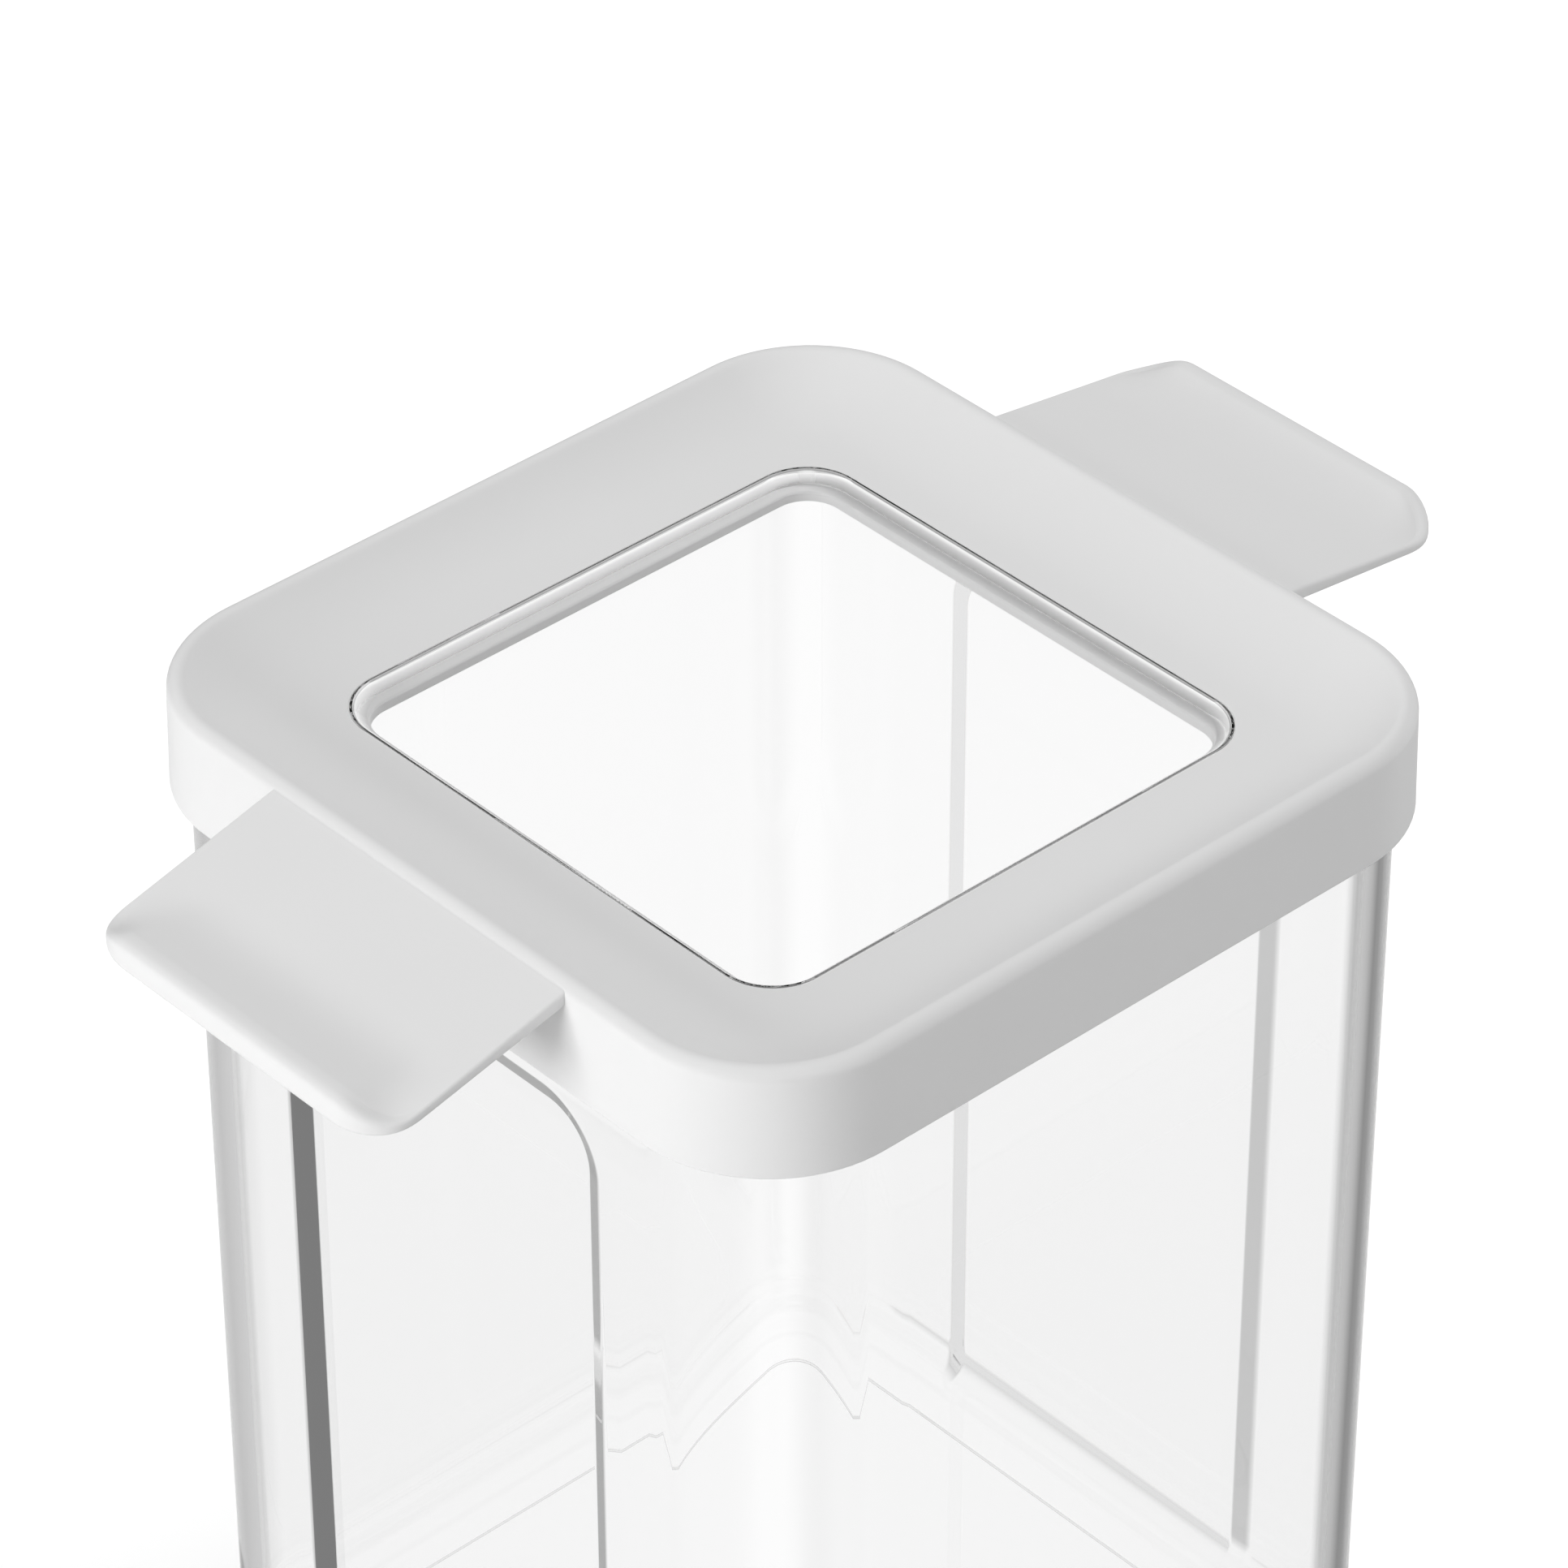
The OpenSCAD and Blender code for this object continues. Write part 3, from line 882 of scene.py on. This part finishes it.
def room_level(tree):
    """Brightness of the room that gloss and glass show: white ahead and grey around.

    It follows how far a ray points to the camera's side and how far above its view.
    """
    where = tree.nodes.new("ShaderNodeTexCoord")
    turned = tree.nodes.new("ShaderNodeVectorTransform")
    turned.vector_type = "VECTOR"
    turned.convert_from = "WORLD"
    turned.convert_to = "CAMERA"
    parts = tree.nodes.new("ShaderNodeSeparateXYZ")
    tree.links.new(where.outputs["Generated"], turned.inputs["Vector"])
    tree.links.new(turned.outputs["Vector"], parts.inputs["Vector"])
    return add_math(tree, "MULTIPLY", room_ramp(tree, parts.outputs["X"], ROOM_ASIDE),
                    room_ramp(tree, parts.outputs["Y"], ROOM_ABOVE))


def light_room(stage):
    """World: white to the camera, the room's levels to gloss and glass, and a fill to all else."""
    world = bpy.data.worlds.new("room")
    bpy.context.scene.world = world
    world.use_nodes = True
    tree = world.node_tree
    shown = tree.nodes["Background"]
    shown.inputs["Color"].default_value = WHITE
    room = add_node(tree, "ShaderNodeBackground", Color=WHITE)
    lit = add_node(tree, "ShaderNodeBackground", Color=WHITE, Strength=stage.fill)
    tree.links.new(room_level(tree), room.inputs["Strength"])
    around = add_mix(tree, seen_by(tree, "Is Glossy Ray", "Is Transmission Ray"),
                     lit.outputs["Background"], room.outputs["Background"])
    seen = add_mix(tree, seen_by(tree, "Is Camera Ray"), around, shown.outputs["Background"])
    tree.links.new(seen, tree.nodes["World Output"].inputs["Surface"])


def lay_floor(stage):
    """Floor: a wide pale disc that looks white and keeps the shadow of what stands on it."""
    rings = np.array([0, 0.2, 0.5, 1.0, stage.floor_r])[:, None]
    turn = np.linspace(0, 2 * pi, 97)[None]
    depth = np.full((len(rings), turn.size), -stage.floor_drop)
    grid = np.stack([rings * np.cos(turn), rings * np.sin(turn), depth], axis=-1)
    mesh = new_mesh("floor", grid.reshape(-1, 3), grid_faces(*grid.shape[:2]))
    floor = bpy.data.objects.new("floor", mesh)
    bpy.context.scene.collection.objects.link(floor)
    material, tree, shader, output = new_material("pale_floor")
    shader.inputs["Base Color"].default_value = grey(stage.floor_grey)
    shader.inputs["Roughness"].default_value = stage.floor_rough
    glow = add_node(tree, "ShaderNodeEmission", Strength=stage.floor_glow)
    both = tree.nodes.new("ShaderNodeAddShader")
    tree.links.new(shader.outputs["BSDF"], both.inputs[0])
    tree.links.new(glow.outputs["Emission"], both.inputs[1])
    seen = add_mix(tree, seen_by(tree, "Is Camera Ray"), shader.outputs["BSDF"],
                   both.outputs["Shader"])
    tree.links.new(seen, output.inputs["Surface"])
    mesh.materials.append(material)
    floor.visible_glossy = False
    floor.visible_transmission = False


# ---- operators ----

class CANISTER_OT_stage(bpy.types.Operator):
    """Set up the camera, the lights and the floor"""

    bl_idname = "canister.stage"
    bl_label = "Stage"

    def execute(self, context):
        stage = context.scene.canister_stage
        place_camera(stage)
        light_room(stage)
        front = outward(stage.front_turn, stage.front_rise)
        back = outward(stage.back_turn, stage.back_rise)
        area_light("front_lamp", front, stage, stage.front)
        area_light("back_lamp", back, stage, stage.back)
        lay_floor(stage)
        context.scene.view_settings.view_transform = "Standard"
        return {"FINISHED"}


class CANISTER_OT_jar(bpy.types.Operator):
    """Make the clear glass jar with its two grip recesses"""

    bl_idname = "canister.jar"
    bl_label = "Glass jar"

    def execute(self, context):
        finish = context.scene.canister_finish
        glass = glass_material("clear_glass", finish.glass, finish)
        place("glass_jar_body", jar_surface(context.scene.canister_jar), glass,
              "jar", "glass_jar")
        return {"FINISHED"}


class CANISTER_OT_lid(bpy.types.Operator):
    """Make the white lid frame with its two finger wings"""

    bl_idname = "canister.lid"
    bl_label = "Lid frame"

    def execute(self, context):
        scene = context.scene
        lid, wing, finish = scene.canister_lid, scene.canister_wing, scene.canister_finish
        ring = lid_shell(lid, scene.canister_window, scene.canister_jar.corner_at)
        back = wing_shell(wing, lid, wing.back_slope)
        front = wing_shell(wing, lid, wing.front_slope)
        front.transform(Matrix.Rotation(pi, 4, "Z"))
        plastic = plastic_material("white_plastic", finish.plastic, finish.plastic_rough,
                                   finish.plastic_index)
        place("lid_frame_body", join_meshes("lid_frame_body", [ring, back, front]), plastic,
              "lid", "lid_frame")
        return {"FINISHED"}


class CANISTER_OT_window(bpy.types.Operator):
    """Make the clear dished window"""

    bl_idname = "canister.window"
    bl_label = "Window"

    def execute(self, context):
        scene = context.scene
        window, finish = scene.canister_window, scene.canister_finish
        clear = glass_material("clear_window", finish.window, finish)
        # The window's sloping rim gets a painted glow as its highlight.
        paint_rim_glow(clear, FLAT_Z - window.dish, FLAT_Z - window.edge * 2, finish.painted_rim_glow)
        place("lid_window_plate", window_surface(window), clear,
              "lid", "lid_window")
        return {"FINISHED"}


class CANISTER_OT_seal(bpy.types.Operator):
    """Make the soft seal round the lid's plug"""

    bl_idname = "canister.seal"
    bl_label = "Seal"

    def execute(self, context):
        scene = context.scene
        seal, lid, finish = scene.canister_seal, scene.canister_lid, scene.canister_finish
        band = seal_surface(seal, lid, scene.canister_jar.corner_at)
        soft = plastic_material("seal_rubber", finish.seal, finish.seal_rough,
                                finish.plastic_index)
        place("lid_seal_band", band, soft, "lid", "lid_seal")
        return {"FINISHED"}


OPERATORS = (CANISTER_OT_stage, CANISTER_OT_jar, CANISTER_OT_lid, CANISTER_OT_window,
             CANISTER_OT_seal)


class CANISTER_PT_panel(bpy.types.Panel):
    """Lists the sizes, the finishes and the buttons that make the pieces."""

    bl_idname = "CANISTER_PT_panel"
    bl_label = "Lidded Canister"
    bl_space_type = "VIEW_3D"
    bl_region_type = "UI"
    bl_category = "Canister"

    def draw(self, context):
        for operator in OPERATORS:
            self.layout.operator(operator.bl_idname)
        for name, group in GROUPS.items():
            box = self.layout.box()
            box.label(text=name.capitalize())
            for size in group.__annotations__:
                box.prop(getattr(context.scene, f"canister_{name}"), size)


CLASSES = (*GROUPS.values(), *OPERATORS, CANISTER_PT_panel)


def register():
    for one in CLASSES:
        bpy.utils.register_class(one)
    for name, group in GROUPS.items():
        setattr(bpy.types.Scene, f"canister_{name}", PointerProperty(type=group))


def unregister():
    for name in GROUPS:
        delattr(bpy.types.Scene, f"canister_{name}")
    for one in reversed(CLASSES):
        bpy.utils.unregister_class(one)


def main():
    register()
    for operator in OPERATORS:
        group, name = operator.bl_idname.split(".")
        getattr(getattr(bpy.ops, group), name)()


if __name__ == "__main__":
    main()
